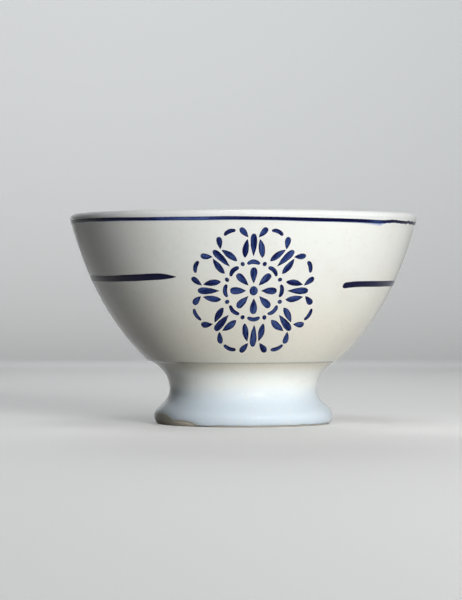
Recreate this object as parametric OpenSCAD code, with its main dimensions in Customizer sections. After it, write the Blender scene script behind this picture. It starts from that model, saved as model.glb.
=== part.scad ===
// Footed bowl for milky coffee. A turned earthenware body sits on a hollow flared foot and is
// joined to it with slip. A glaze coat covers both, and a second one lines the hollow of the foot.
// The blue work lies flush in pockets of the glaze: a line under the lip, one brush stroke that
// runs round the back and stops short on both sides of the front, and a stencilled rosette.
// The front faces -Y, and the origin is the middle of the resting face.

/* [Body] */
// Diameter across the widest part of the lip
rim_d = 145; // [132:0.5:158]
// Height from the table to the top of the lip
bowl_h = 87.4; // [82:0.1:95]
// Radius of the lip's round, half the thickness of the glazed lip
lip_r = 2.05; // [1.8:0.05:2.6]
// How far the edge where the body meets the foot stands out past the toe of the foot
crease_out = 2.5; // [1.5:0.1:3.5]
// Height of that edge
crease_h = 26.2; // [25:0.1:28]
// How far out the belly is drawn, as a share of the way from that edge to the lip
belly_out_share = 0.67; // [0.62:0.01:0.74]
// How far up the belly is drawn, as a share of the same way
belly_up_share = 0.36; // [0.32:0.01:0.4]
// Thickness of the glazed wall at its lower end
wall_t = 5.6; // [5:0.1:6.2]
// Thickness of the glazed floor in the middle
floor_t = 5.6; // [5:0.1:6.5]
// How far the body's rounded underside hangs below that edge in the middle
underside_dip = 10.2; // [8.8:0.1:11.2]
// How far out the underside stays flat, as a share of the radius of its edge
underside_share = 0.38; // [0.3:0.01:0.45]

/* [Foot] */
// Radius of the widest part of the toe
toe_r = 37.4; // [36:0.1:39.5]
// Height of the widest part of the toe
toe_h = 3.4; // [2.8:0.1:4.2]
// How far the waist is drawn in from the toe
waist_in = 6.4; // [5.4:0.1:7.4]
// How far the waist lies below the edge where the body meets the foot
waist_drop = 11.7; // [11:0.1:13]
// How long the neck stays steep above the waist, as a share of its height
neck_share = 0.63; // [0.5:0.01:0.75]
// How long the flare stays steep above the toe, as a share of its height
toe_share = 0.37; // [0.25:0.01:0.45]
// How long the flare stays steep below the waist, as a share of its height
waist_share = 0.59; // [0.45:0.01:0.65]
// How far the toe rounds in to the flat ring that the bowl rests on
rest_in = 1.8; // [1.2:0.1:2.4]
// Width of that ring
rest_w = 2.3; // [1.6:0.1:3]
// Thickness of the foot at its waist
foot_wall = 5.2; // [4.4:0.1:6]
// Width of the small ledge under the edge where the body meets the foot
ledge_w = 0.9; // [0.5:0.05:1.2]

/* [Slip joint] */
// Thickness of the slip between the foot and the body
slip_t = 0.6; // [0.4:0.05:1]
// Size of the slip fillet wiped into the corner inside the foot
fillet = 3; // [2:0.1:4]

/* [Glaze] */
// Thickness of the glaze coat
glaze_t = 0.4; // [0.36:0.02:0.6]
// Thickness of the thinner glaze inside the foot
under_glaze_t = 0.3; // [0.2:0.02:0.5]
// Height where the outer glaze stops above the table
glaze_line = 1; // [0.7:0.05:1.6]
// Height where the inner glaze of the foot stops above the table
under_line = 1.3; // [0.9:0.05:2]
// Depth of the blue in the glaze
paint_t = 0.25; // [0.15:0.01:0.3]

/* [Line and band] */
// Width of the blue line under the lip
line_w = 1.4; // [0.8:0.05:2]
// Bare strip between the lip's round and the line
line_gap = 0.4; // [0.05:0.05:1]
// Width of the side band
band_w = 2.5; // [1.6:0.05:3]
// How far the middle of the side band lies below the line
band_drop = 23.5; // [20:0.1:28]
// How far the hand-drawn band climbs on its way round, from its blunt end to its point
band_rise = 3.1; // [0:0.1:4.5]
// Bare glaze between the rosette and the band's pointed left end
band_left_gap = 4.5; // [3:0.1:9]
// Length of the point
band_point = 6; // [3:0.1:10]
// Bare glaze between the rosette and the band's blunt right end
band_right_gap = 9.8; // [3:0.1:12]

/* [Rosette] */
// How far right of the front the rosette is centred
rosette_x = 3.8; // [0:0.1:5]
// Bare glaze between the line and the circle that the rosette fills
rosette_above = 1.5; // [1:0.1:5]
// Bare glaze between that circle and the edge where the body meets the foot
rosette_below = 3; // [2:0.1:6]
// Number of times the pattern repeats round the centre
rosette_fold = 8; // [6:1:8]
// The motifs of the stencil are shares of the radius of that circle. Bare glaze between two rings
ring_gap_share = 0.042; // [0.035:0.001:0.05]
// Radius of the round eye
eye_share = 0.07; // [0.05:0.001:0.075]
// Length of a petal round the eye
petal_len_share = 0.245; // [0.2:0.005:0.26]
// Width of such a petal
petal_w_share = 0.12; // [0.09:0.002:0.124]
// Length of the small arch that cups a petal
arch_len_share = 0.205; // [0.16:0.005:0.215]
// Width of the arch strokes
arch_w_share = 0.074; // [0.05:0.002:0.078]
// How far such an arch bends, in degrees
arch_bend = 85; // [60:1:100]
// Radius of a bead between two arches
bead_share = 0.034; // [0.025:0.001:0.038]
// Length of a leaf
leaf_len_share = 0.285; // [0.24:0.005:0.3]
// Width of a leaf
leaf_w_share = 0.106; // [0.07:0.002:0.11]
// How far each leaf of a pair leans away from the other, in degrees
leaf_lean = 31; // [28:1:33]
// Length of the middle blade of a fan
fan_len_share = 0.345; // [0.29:0.005:0.36]
// Width of that blade
fan_w_share = 0.115; // [0.08:0.005:0.12]
// Length of the two side blades of a fan
side_len_share = 0.19; // [0.16:0.005:0.2]
// Width of a side blade
side_w_share = 0.1; // [0.07:0.005:0.105]
// How far a side blade leans out of its fan, in degrees
side_lean = 40; // [36:1:42]
// Length of the arch that closes the pattern between two fans
border_len_share = 0.2; // [0.16:0.005:0.21]
// How far that arch bends, in degrees
border_bend = 70; // [50:1:80]

/* [Hidden] */
$fn = 96;

// How far a cut runs past what it cuts
overrun = 0.5;
// Number of straight pieces in the long curves, the short curves and the lip's round
wall_steps = 14;
curve_steps = 12;
lip_steps = 12;
// Number of straight pieces along each edge of a painted motif, and round the side band
blade_steps = 7;
band_steps = 24;
// How much further than the side band's edges the cuts that shape its two ends reach
end_clear = 0.1;

biscuit = "wheat";
slip_grey = "tan";
white = "ivory";
cool_white = "aliceblue";
blue = "midnightblue";

// Points are [radius, height]. A curve is a list of control points.
function mix(a, b, share) = a + (b - a) * share;
function curve2(p, s) = (1 - s)^2 * p[0] + 2 * s * (1 - s) * p[1] + s^2 * p[2];
function slope2(p, s) = (1 - s) * (p[1] - p[0]) + s * (p[2] - p[1]);
function curve3(p, s) = mix(curve2([p[0], p[1], p[2]], s), curve2([p[1], p[2], p[3]], s), s);
function slope3(p, s) = curve2([p[1] - p[0], p[2] - p[1], p[3] - p[2]], s);
// The unit vector to the right of a direction of travel
function right_of(v) = [v[1], -v[0]] / norm(v);
// The share of the way along a three-point curve at which one coordinate takes a value
function share_where(p0, p1, p2, value) =
  let (a = p0 - 2 * p1 + p2, b = 2 * (p1 - p0), c = p0 - value)
  2 * c / (-b - sign(b) * sqrt(b^2 - 4 * a * c));
// Shares from 0 to 1 in equal steps, and back again
function up(steps) = [for (i = [0 : steps]) i / steps];
function down(steps) = [for (i = [0 : steps]) 1 - i / steps];
function after_first(list) = [for (i = [1 : len(list) - 1]) list[i]];

// The wall rises from the crease to the lip, and its far control points lie on the tangent
// through the lip's centre, so the wall runs smoothly into the lip's round.
crease_r = toe_r + crease_out;
crease = [crease_r, crease_h];
lip_c = [rim_d / 2 - lip_r, bowl_h - lip_r];
belly = [mix(crease_r, lip_c[0], belly_out_share), mix(crease_h, lip_c[1], belly_up_share)];
lip_out = right_of(lip_c - belly);
wall_curve = [crease, belly + lip_r * lip_out, lip_c + lip_r * lip_out];
lip_start = atan2(lip_out[1], lip_out[0]);
wall_top_h = wall_curve[2][1];

// The underside turns flatter at the crease and dips to the middle of the foot.
underside_h = crease_h - underside_dip;
underside_curve = [crease, [crease_r * underside_share, underside_h], [0, underside_h]];

// The well carries the line of the wall's inside on, to a flat floor.
wall_run = (wall_curve[1][0] - crease_r) / (wall_curve[1][1] - crease_h);
well_start = crease - wall_t * right_of(wall_curve[1] - crease);
floor_h = underside_h + floor_t;
well_curve = [well_start, [well_start[0] - (well_start[1] - floor_h) * wall_run, floor_h], [0, floor_h]];

// Each of these is a point of the finished outline, moved into the clay by a depth.
function wall_at(s, depth) = curve2(wall_curve, s) - depth * right_of(slope2(wall_curve, s));
function underside_at(s, depth) = curve2(underside_curve, s) + depth * right_of(slope2(underside_curve, s));
function well_at(s, depth) = curve2(well_curve, s) - depth * right_of(slope2(well_curve, s));
function lip_at(s, depth) =
  let (a = lip_start + 180 * s) lip_c + (lip_r - depth) * [cos(a), sin(a)];
function wall_thickness(s) = mix(wall_t, 2 * lip_r, s);

// The body's skin at a depth: up the wall, over the lip, down the inside and across the floor
function vessel_skin(depth) = concat(
  [for (s = up(wall_steps)) wall_at(s, depth)],
  [for (i = [1 : lip_steps - 1]) lip_at(i / lip_steps, depth)],
  [for (s = down(wall_steps)) wall_at(s, wall_thickness(s) - depth)],
  [for (s = after_first(up(curve_steps))) well_at(s, depth)]);

// The foot's outside: toe, flare and neck
waist_r = toe_r - waist_in;
waist_h = crease_h - waist_drop;
rest_r = toe_r - rest_in;
flare_curve = [[toe_r, toe_h], [toe_r, mix(toe_h, waist_h, toe_share)],
  [waist_r, mix(waist_h, toe_h, waist_share)], [waist_r, waist_h]];
neck_curve = [[waist_r, waist_h], [waist_r, mix(waist_h, crease_h, neck_share)], crease - [ledge_w, 0]];
function toe_at(turn, depth) =
  [mix(rest_r, toe_r - depth, cos(turn)), toe_h * (1 - sin(turn))];
function foot_skin(first_turn, depth) = concat(
  [for (s = down(curve_steps)) toe_at(first_turn * s, depth)],
  [for (s = after_first(up(curve_steps))) curve3(flare_curve, s) - depth * right_of(slope3(flare_curve, s))],
  [for (s = after_first(up(curve_steps))) curve2(neck_curve, s) - depth * right_of(slope2(neck_curve, s))]);

// The hollow inside the foot, narrowed by a coat. Its side turns into the underside in a fillet.
hollow_r = waist_r - foot_wall;
hollow_curve = [[rest_r - rest_w, 0], [rest_r - rest_w, mix(0, waist_h, toe_share)],
  [hollow_r, mix(waist_h, 0, waist_share)], [hollow_r, waist_h]];
function share_at(r) = share_where(underside_curve[0][0], underside_curve[1][0], underside_curve[2][0], r);
corner_h = underside_at(share_at(hollow_r), glaze_t)[1];
fillet_share = share_at(hollow_r - fillet);
function hollow_side(coat, end) = concat(
  [[0, -overrun], [rest_r - rest_w - coat, -overrun]],
  [for (s = up(curve_steps)) curve3(hollow_curve, s) - [coat, 0]],
  [for (s = up(curve_steps))
    curve2([[hollow_r - coat, corner_h - fillet], [hollow_r - coat, corner_h - coat], end], s)]);

// Fired body without its glaze
module body_section() {
  polygon(concat(vessel_skin(glaze_t),
    [for (i = [curve_steps : -1 : 1]) underside_at(i / curve_steps, glaze_t)]));
}

// The middle of the body's thickness, from a share of the underside to the axis
function inside_floor(from) = [for (i = up(curve_steps)) let (s = mix(from, 1, i))
  (curve2(underside_curve, s) + curve2(well_curve, s)) / 2];

// Everything inside the foot's glaze, up into the body
module core_section() {
  polygon(concat(foot_skin(90, glaze_t), inside_floor(0), [[0, 0]]));
}

// The hollow before it is glazed, up into the body
module hollow_section() {
  polygon(concat(hollow_side(0, underside_at(fillet_share, glaze_t + slip_t)), inside_floor(fillet_share)));
}

// The air left in the hollow once it is glazed
module hollow_air_section() {
  under = glaze_t - under_glaze_t;
  polygon(concat(hollow_side(under_glaze_t, underside_at(fillet_share, under)),
    [for (s = after_first(up(curve_steps))) underside_at(mix(fillet_share, 1, s), under)]));
}

// Where slip lies: a layer under the body, and the fillet in the corner of the hollow
module slip_section() {
  polygon(concat([for (s = down(curve_steps)) underside_at(s, glaze_t - slip_t)], inside_floor(0)));
  translate([0, corner_h - fillet]) square([hollow_r, fillet + slip_t]);
}

// The foot and the slip together
module joined_foot_section() {
  difference() {
    core_section();
    body_section();
    hollow_section();
  }
}

// Everything inside the finished outside, down to the glaze line
module finished_section() {
  first_turn = asin(1 - glaze_line / toe_h);
  polygon(concat(foot_skin(first_turn, 0), vessel_skin(0), [[0, glaze_line]]));
}

// The part of the wall's glaze between two depths
module paint_section(from, to) {
  polygon(concat([for (s = up(wall_steps)) wall_at(s, from)], [for (s = down(wall_steps)) wall_at(s, to)]));
}

// Blue that fills the glaze down to paint_t wherever the children stand
module paint() {
  intersection() {
    rotate_extrude() paint_section(0, paint_t);
    children();
  }
}

// The pocket in the glaze for the same blue
module pocket() {
  intersection() {
    rotate_extrude() paint_section(-overrun, paint_t);
    children();
  }
}

// The circle that the rosette fills, between the line and the crease
line_h = wall_top_h - line_gap - line_w;
rosette_r = (line_h - rosette_above - rosette_below - crease_h) / 2;
rosette_h = crease_h + rosette_below + rosette_r;

// The line under the lip
module line_stroke() {
  translate([0, 0, line_h]) cylinder(h = line_w, r = rim_d);
}

// Radius of the wall at a height
function wall_r(h) =
  curve2(wall_curve, share_where(wall_curve[0][1], wall_curve[1][1], wall_curve[2][1], h))[0];

// The side band's ends, from the front to the right and to the left of it
band_h = line_h - band_drop;
band_left = rosette_r - rosette_x + band_left_gap;
band_right = rosette_r + rosette_x + band_right_gap;

// A ramp that climbs evenly round the bowl, from just before one end of the band to just past the
// other. Each station has its four corners from the wall's inside out and back.
module band_ramp() {
  first = asin(band_right / wall_r(band_h));
  last = 360 - asin(band_left / wall_r(band_h));
  half_w = band_w / 2;
  corners = [[crease_r, -half_w], [rim_d / 2, -half_w], [rim_d / 2, half_w], [crease_r, half_w]];
  polyhedron(
    points = [for (i = [-1 : band_steps + 1], c = corners)
      let (a = mix(first, last, i / band_steps), h = band_rise * (i / band_steps - 1 / 2))
      [c[0] * sin(a), -c[0] * cos(a), c[1] + h]],
    faces = concat([[3, 2, 1, 0]],
      [for (i = [0 : band_steps + 1], j = [0 : 3]) let (k = (j + 1) % 4)
        [4 * i + j, 4 * i + k, 4 * i + 4 + k, 4 * i + 4 + j]],
      [[for (j = [0 : 3]) 4 * (band_steps + 2) + j]]));
}

// A brush stroke round the back, while the bowl turned and the hand drifted up. The brush left a
// blunt round end on the right and a point on the left.
module band_stroke() {
  half_w = band_w / 2;
  cut = half_w + end_clear;
  point_run = band_left + band_point * cut / half_w;
  reach = band_rise + band_w;
  blunt = [for (i = [0 : blade_steps]) let (a = 90 - 180 * i / blade_steps)
    [band_right + cut * (1 - cos(a)), cut * sin(a) - band_rise / 2]];
  gap = concat([[-band_left, band_rise / 2], [-point_run, band_rise / 2 + cut], [-point_run, reach],
    [band_right + cut, reach]], blunt, [[band_right + cut, -reach],
    [-point_run, -reach], [-point_run, band_rise / 2 - cut]]);
  translate([0, 0, band_h]) difference() {
    band_ramp();
    rotate([90, 0, 0]) linear_extrude(rim_d) polygon(gap);
  }
}

// Outline of one dab of the brush, centred on its length. Its spine bends through an angle. The
// ends are pointed where their softness is 1, and rounder the nearer it comes to 0.
function dab(length, width, soft_in, soft_out, bend) =
  let (
    widest = soft_in / (soft_in + soft_out),
    top = widest^soft_in * (1 - widest)^soft_out,
    shares = [for (i = [0 : blade_steps]) (1 - cos(180 * i / blade_steps)) / 2],
    spine = function (s) abs(bend) < 1 ? [0, length * (s - 1 / 2)] :
      let (r = length / (bend * PI / 180), a = bend * (s - 1 / 2)) r * [1 - cos(a), sin(a)],
    across = function (s) let (a = bend * (s - 1 / 2)) [cos(a), -sin(a)],
    half = function (s) width / 2 * s^soft_in * (1 - s)^soft_out / top)
  concat([for (s = shares) spine(s) + half(s) * across(s)],
    [for (i = [blade_steps - 1 : -1 : 1]) spine(shares[i]) - half(shares[i]) * across(shares[i])]);

petal_soft = [1, 0.5];
arch_soft = [0.35, 0.35];
leaf_soft = [0.8, 1];

// A motif on the wall. Its place is measured from the rosette's centre, along a spoke and across
// it, in heights and in lengths round the wall. The motif leans clockwise from that spoke.
module on_wall(spoke, along, across, lean, size) {
  x = rosette_x + along * sin(spoke) + across * cos(spoke);
  h = rosette_h + along * cos(spoke) - across * sin(spoke);
  depth = size * wall_run / 2 + 2 * wall_t;
  rotate([0, 0, x / wall_r(h) * 180 / PI]) translate([0, depth / 2 - wall_r(h), h])
    rotate([90, 0, 0]) linear_extrude(depth) rotate(-spoke - lean) children();
}

// Spokes through the petals, and spokes between them
function petal_spokes() = [for (i = [0 : rosette_fold - 1]) 360 * i / rosette_fold];
function gap_spokes() = [for (a = petal_spokes()) a + 180 / rosette_fold];

// Sizes of the motifs, and the radii where the rings of motifs start
ring_gap = ring_gap_share * rosette_r;
eye_r = eye_share * rosette_r;
petal_len = petal_len_share * rosette_r;
petal_w = petal_w_share * rosette_r;
arch_len = arch_len_share * rosette_r;
arch_w = arch_w_share * rosette_r;
bead_r = bead_share * rosette_r;
leaf_len = leaf_len_share * rosette_r;
leaf_w = leaf_w_share * rosette_r;
fan_len = fan_len_share * rosette_r;
fan_w = fan_w_share * rosette_r;
side_len = side_len_share * rosette_r;
side_w = side_w_share * rosette_r;
border_len = border_len_share * rosette_r;
petal_ring = eye_r + ring_gap;
arch_ring = petal_ring + petal_len + ring_gap;
leaf_ring = arch_ring + arch_w / 2 + bead_r + ring_gap;
fan_ring = arch_ring + arch_w + ring_gap;
side_ring = leaf_ring + leaf_len * cos(leaf_lean) + ring_gap;
border_ring = rosette_r - arch_w;
// How far the two leaves of a pair stand apart at their feet, as a share of their width
leaf_apart_share = 0.55;
// How far a side blade stands off the middle blade at its foot, as a share of their widths
side_apart_share = 0.75;

module eye_dab() {
  on_wall(0, 0, 0, 0, 2 * eye_r) circle(eye_r);
}

module petal_dab(spoke) {
  on_wall(spoke, petal_ring + petal_len / 2, 0, 0, petal_len)
    polygon(dab(petal_len, petal_w, petal_soft[0], petal_soft[1], 0));
}

// An arch stands square to its spoke and bends towards the centre.
module arch_dab(spoke, ring, length, bend) {
  on_wall(spoke, ring + arch_w / 2, 0, 90, length)
    polygon(dab(length, arch_w, arch_soft[0], arch_soft[1], bend));
}

module petal_arch_dab(spoke) {
  arch_dab(spoke, arch_ring, arch_len, arch_bend);
}

module border_arch_dab(spoke) {
  arch_dab(spoke, border_ring, border_len, border_bend);
}

module bead_dab(spoke) {
  on_wall(spoke, arch_ring + arch_w / 2, 0, 0, 2 * bead_r) circle(bead_r);
}

module leaf_dab(spoke, side) {
  on_wall(spoke, leaf_ring + leaf_len / 2 * cos(leaf_lean),
    side * (leaf_apart_share * leaf_w + leaf_len / 2 * sin(leaf_lean)), side * leaf_lean, leaf_len)
    polygon(dab(leaf_len, leaf_w, leaf_soft[0], leaf_soft[1], side * leaf_lean / 2));
}

module fan_dab(spoke) {
  on_wall(spoke, fan_ring + fan_len / 2, 0, 0, fan_len)
    polygon(dab(fan_len, fan_w, petal_soft[0], petal_soft[1], 0));
}

module fan_side_dab(spoke, side) {
  on_wall(spoke, side_ring + side_len / 2 * cos(side_lean),
    side * (side_apart_share * (fan_w + side_w) / 2 + side_len / 2 * sin(side_lean)),
    side * side_lean, side_len)
    polygon(dab(side_len, side_w, petal_soft[0], petal_soft[1], 0));
}

// Every place in the glaze that holds blue
module pockets() {
  pocket() line_stroke();
  pocket() band_stroke();
  pocket() eye_dab();
  for (spoke = petal_spokes()) {
    pocket() petal_dab(spoke);
    pocket() petal_arch_dab(spoke);
    pocket() fan_dab(spoke);
    for (side = [-1, 1]) pocket() fan_side_dab(spoke, side);
  }
  for (spoke = gap_spokes()) {
    pocket() bead_dab(spoke);
    pocket() border_arch_dab(spoke);
    for (side = [-1, 1]) pocket() leaf_dab(spoke, side);
  }
}

module bowl_body() {
  color(biscuit) rotate_extrude() body_section();
}

module pedestal_foot() {
  color(biscuit) rotate_extrude() difference() {
    joined_foot_section();
    slip_section();
  }
}

module luting_slip() {
  color(slip_grey) rotate_extrude() intersection() {
    joined_foot_section();
    slip_section();
  }
}

module glaze_coat() {
  color(white) difference() {
    rotate_extrude() difference() {
      finished_section();
      core_section();
      body_section();
    }
    pockets();
  }
}

module underside_glaze() {
  color(cool_white) rotate_extrude() difference() {
    hollow_section();
    body_section();
    hollow_air_section();
    translate([0, -toe_h]) square([toe_r, toe_h + under_line]);
  }
}

module rim_line() {
  color(blue) paint() line_stroke();
}

module side_band() {
  color(blue) paint() band_stroke();
}

module rosette_eye() {
  color(blue) paint() eye_dab();
}

module rosette_petals() {
  color(blue) for (spoke = petal_spokes()) paint() petal_dab(spoke);
}

module rosette_arches() {
  color(blue) for (spoke = petal_spokes()) paint() petal_arch_dab(spoke);
}

module rosette_beads() {
  color(blue) for (spoke = gap_spokes()) paint() bead_dab(spoke);
}

module rosette_leaves() {
  color(blue) for (spoke = gap_spokes(), side = [-1, 1]) paint() leaf_dab(spoke, side);
}

module rosette_fans() {
  color(blue) for (spoke = petal_spokes()) {
    paint() fan_dab(spoke);
    for (side = [-1, 1]) paint() fan_side_dab(spoke, side);
  }
}

module rosette_border() {
  color(blue) for (spoke = gap_spokes()) paint() border_arch_dab(spoke);
}

bowl_body();
pedestal_foot();
luting_slip();
glaze_coat();
underside_glaze();
rim_line();
side_band();
rosette_eye();
rosette_petals();
rosette_arches();
rosette_beads();
rosette_leaves();
rosette_fans();
rosette_border();
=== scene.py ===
"""Looks of a footed bowl for milky coffee: fired glaze, brushed cobalt, bare clay and a soft studio.

Lengths are in metres. The bowl stands on z = 0 and its painted front faces -Y.
"""

import logging
import math
from collections.abc import Callable, Iterable
from dataclasses import dataclass
from enum import Enum
from functools import cached_property

import bmesh
import bpy
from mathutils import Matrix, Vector, noise


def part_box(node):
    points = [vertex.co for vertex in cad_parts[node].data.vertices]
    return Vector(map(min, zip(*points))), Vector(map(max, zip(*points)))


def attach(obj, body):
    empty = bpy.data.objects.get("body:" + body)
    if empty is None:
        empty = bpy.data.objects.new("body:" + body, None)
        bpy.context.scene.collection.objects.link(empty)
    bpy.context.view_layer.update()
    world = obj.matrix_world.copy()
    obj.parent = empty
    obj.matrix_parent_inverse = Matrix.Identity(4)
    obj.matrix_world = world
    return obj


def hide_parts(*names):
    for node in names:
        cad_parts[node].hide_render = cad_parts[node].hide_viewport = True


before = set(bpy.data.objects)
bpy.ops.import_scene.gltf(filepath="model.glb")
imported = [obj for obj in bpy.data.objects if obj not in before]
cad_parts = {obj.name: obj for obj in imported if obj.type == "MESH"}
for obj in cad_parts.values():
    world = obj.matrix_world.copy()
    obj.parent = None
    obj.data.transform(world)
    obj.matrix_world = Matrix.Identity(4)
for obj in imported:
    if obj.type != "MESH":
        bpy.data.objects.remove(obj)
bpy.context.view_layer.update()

log = logging.getLogger("bowl")
MM = 0.001
BODY = "root"

Colour = tuple[float, float, float, float]
Measures = dict["Measure", float]


class Slot(Enum):
    """The material slots."""

    BISCUIT = "biscuit"
    SLIP = "slip"
    GLAZE = "glaze"
    UNDERSIDE = "underside_glaze"
    COBALT = "cobalt_blue"


def mix(a: float, b: float, share: float) -> float:
    """The number a share of the way from a to b."""
    return a + (b - a) * share


def shares(steps: int) -> list[float]:
    """Shares from 0 to 1 in equal steps."""
    return [i / steps for i in range(steps + 1)]


def hump(value: float, centre: float, spread: float) -> float:
    """A smooth hump of height 1 at the centre, which dies away on both sides."""
    return math.exp(-(((value - centre) / spread) ** 2))


@dataclass(frozen=True)
class Curve:
    """A Bezier curve in the plane of radius and height."""

    points: tuple[Vector, ...]

    def _cut(self, share: float, keep: int) -> list[Vector]:
        """Draw the control points together until some are left.

        Args:
            share: How far along the curve, from 0 to 1.
            keep: How many points to leave.

        Returns:
            The points that are left.
        """
        row = list(self.points)
        while len(row) > keep:
            row = [a.lerp(b, share) for a, b in zip(row, row[1:])]
        return row

    def at(self, share: float) -> Vector:
        """The point at a share of the way along."""
        return self._cut(share, 1)[0]

    def right(self, share: float) -> Vector:
        """The unit vector to the right of the direction of travel."""
        a, b = self._cut(share, 2)
        run = (b - a).normalized()
        return Vector((run.y, -run.x))


@dataclass(frozen=True)
class BowlShape:
    """Outline of the finished bowl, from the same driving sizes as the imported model."""

    rim_r: float
    height: float
    lip_r: float = 2.05 * MM
    crease_r: float = 39.9 * MM
    crease_h: float = 26.2 * MM
    belly_out_share: float = 0.67
    belly_up_share: float = 0.36
    wall_t: float = 5.6 * MM
    floor_t: float = 5.6 * MM
    underside_dip: float = 10.2 * MM
    underside_share: float = 0.38
    toe_r: float = 37.4 * MM
    toe_h: float = 3.4 * MM
    waist_in: float = 6.4 * MM
    waist_drop: float = 11.7 * MM
    neck_share: float = 0.63
    toe_share: float = 0.37
    waist_share: float = 0.59
    rest_in: float = 1.8 * MM
    rest_w: float = 2.3 * MM
    foot_wall: float = 5.2 * MM
    ledge_w: float = 0.9 * MM
    fillet: float = 3.0 * MM
    glaze_t: float = 0.4 * MM
    under_glaze_t: float = 0.3 * MM
    glaze_line: float = 1.0 * MM
    under_line: float = 1.3 * MM
    edge_round: float = 0.45 * MM
    slow_dip: float = 0.09 * MM
    ring_dip: float = 0.02 * MM
    ring_pitch: float = 3.2 * MM

    @classmethod
    def from_frame(cls) -> "BowlShape":
        """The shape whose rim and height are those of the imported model."""
        low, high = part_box("glaze_coat")
        return cls(rim_r=min(high.x, high.y, -low.x, -low.y), height=high.z)

    @cached_property
    def crease(self) -> Vector:
        """The edge where the body meets the foot."""
        return Vector((self.crease_r, self.crease_h))

    @cached_property
    def lip_centre(self) -> Vector:
        """The centre of the lip's round."""
        return Vector((self.rim_r - self.lip_r, self.height - self.lip_r))

    @cached_property
    def wall(self) -> Curve:
        """The outside of the wall, from the crease to the lip's round."""
        belly = Vector((
            mix(self.crease_r, self.lip_centre.x, self.belly_out_share),
            mix(self.crease_h, self.lip_centre.y, self.belly_up_share),
        ))
        out = Curve((belly, self.lip_centre)).right(0)
        return Curve((self.crease, belly + self.lip_r * out, self.lip_centre + self.lip_r * out))

    @cached_property
    def well(self) -> Curve:
        """The inside below the wall, which runs out to the flat floor."""
        foot, knee = self.wall.points[:2]
        lean = (knee.x - foot.x) / (knee.y - foot.y)
        start = self.crease - self.wall_t * self.wall.right(0)
        floor = self.crease_h - self.underside_dip + self.floor_t
        return Curve((start, Vector((start.x - (start.y - floor) * lean, floor)), Vector((0, floor))))

    @cached_property
    def waist(self) -> Vector:
        """The narrowest place of the foot."""
        return Vector((self.toe_r - self.waist_in, self.crease_h - self.waist_drop))

    @cached_property
    def flare(self) -> Curve:
        """The outside of the foot from the toe up to the waist."""
        return Curve((
            Vector((self.toe_r, self.toe_h)),
            Vector((self.toe_r, mix(self.toe_h, self.waist.y, self.toe_share))),
            Vector((self.waist.x, mix(self.waist.y, self.toe_h, self.waist_share))),
            self.waist,
        ))

    @cached_property
    def neck(self) -> Curve:
        """The outside of the foot from the waist up to the ledge under the crease."""
        knee = Vector((self.waist.x, mix(self.waist.y, self.crease_h, self.neck_share)))
        return Curve((self.waist, knee, self.crease - Vector((self.ledge_w, 0))))

    @cached_property
    def hollow(self) -> Curve:
        """The side of the hollow in the foot, from the table up to the waist."""
        low = self.toe_r - self.rest_in - self.rest_w
        high = self.waist.x - self.foot_wall
        return Curve((
            Vector((low, 0)),
            Vector((low, mix(0, self.waist.y, self.toe_share))),
            Vector((high, mix(self.waist.y, 0, self.waist_share))),
            Vector((high, self.waist.y)),
        ))

    @cached_property
    def underside(self) -> Curve:
        """The body's rounded underside, from the crease to the axis."""
        dip = self.crease_h - self.underside_dip
        return Curve((self.crease, Vector((self.crease_r * self.underside_share, dip)), Vector((0, dip))))

    def wall_share(self, height: float) -> float:
        """The share of the way up the wall's curve at which it reaches a height."""
        low, knee, top = (p.y for p in self.wall.points)
        a, b, c = low - 2 * knee + top, 2 * (knee - low), low - height
        return 2 * c / (-b - math.sqrt(b * b - 4 * a * c))

    def wall_radius(self, height: float) -> float:
        """The drawn radius of the wall at a height."""
        return self.wall.at(self.wall_share(height)).x

    def dip(self, angle: float, height: float) -> float:
        """How far the hand-turned glaze stays inside its drawn outline."""
        level = height / self.height
        around = Vector((math.sin(angle), math.cos(angle), 2.5 * level))
        slow = 0.5 + 0.5 * noise.noise(1.3 * around)
        rings = 0.5 + 0.5 * noise.noise(Vector((0.3 * around.x, 0.3 * around.y, height / self.ring_pitch)))
        return self.slow_dip * slow + self.ring_dip * rings

    def on_wall(self, angle: float, height: float, proud: float) -> Vector:
        """Find a place on the glazed wall.

        Args:
            angle: Turn from the front towards +X, in radians.
            height: Height above the table.
            proud: How far the place stands out of the glaze.

        Returns:
            The place, in the row frame.
        """
        share = self.wall_share(height)
        spot = self.wall.at(share) + proud * self.wall.right(share)
        radius = spot.x - self.dip(angle, height)
        return Vector((radius * math.sin(angle), -radius * math.cos(angle), spot.y))


def new_piece(name: str, bm: bmesh.types.BMesh, material: bpy.types.Material, slot: Slot, *nodes: str,
              thickness: float) -> bpy.types.Object:
    """Make a finished piece that stands for CAD nodes.

    Args:
        name: The piece's name.
        bm: Its surface, which is used up.
        material: Its finish.
        slot: The slot for that finish; not used.
        nodes: The CAD nodes that it replaces.
        thickness: How thick the surface is made, inwards.

    Returns:
        The object, riding on the body.
    """
    mesh = bpy.data.meshes.new(name)
    bm.to_mesh(mesh)
    bm.free()
    mesh.materials.append(material)
    mesh.shade_smooth()
    piece = bpy.data.objects.new(name, mesh)
    bpy.context.scene.collection.objects.link(piece)
    shell = piece.modifiers.new("thickness", "SOLIDIFY")
    shell.thickness = thickness
    shell.offset = -1
    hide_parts(*nodes)
    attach(piece, BODY)
    log.info("%s: %d faces, for %s", name, len(mesh.polygons), ", ".join(nodes))
    return piece


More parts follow.
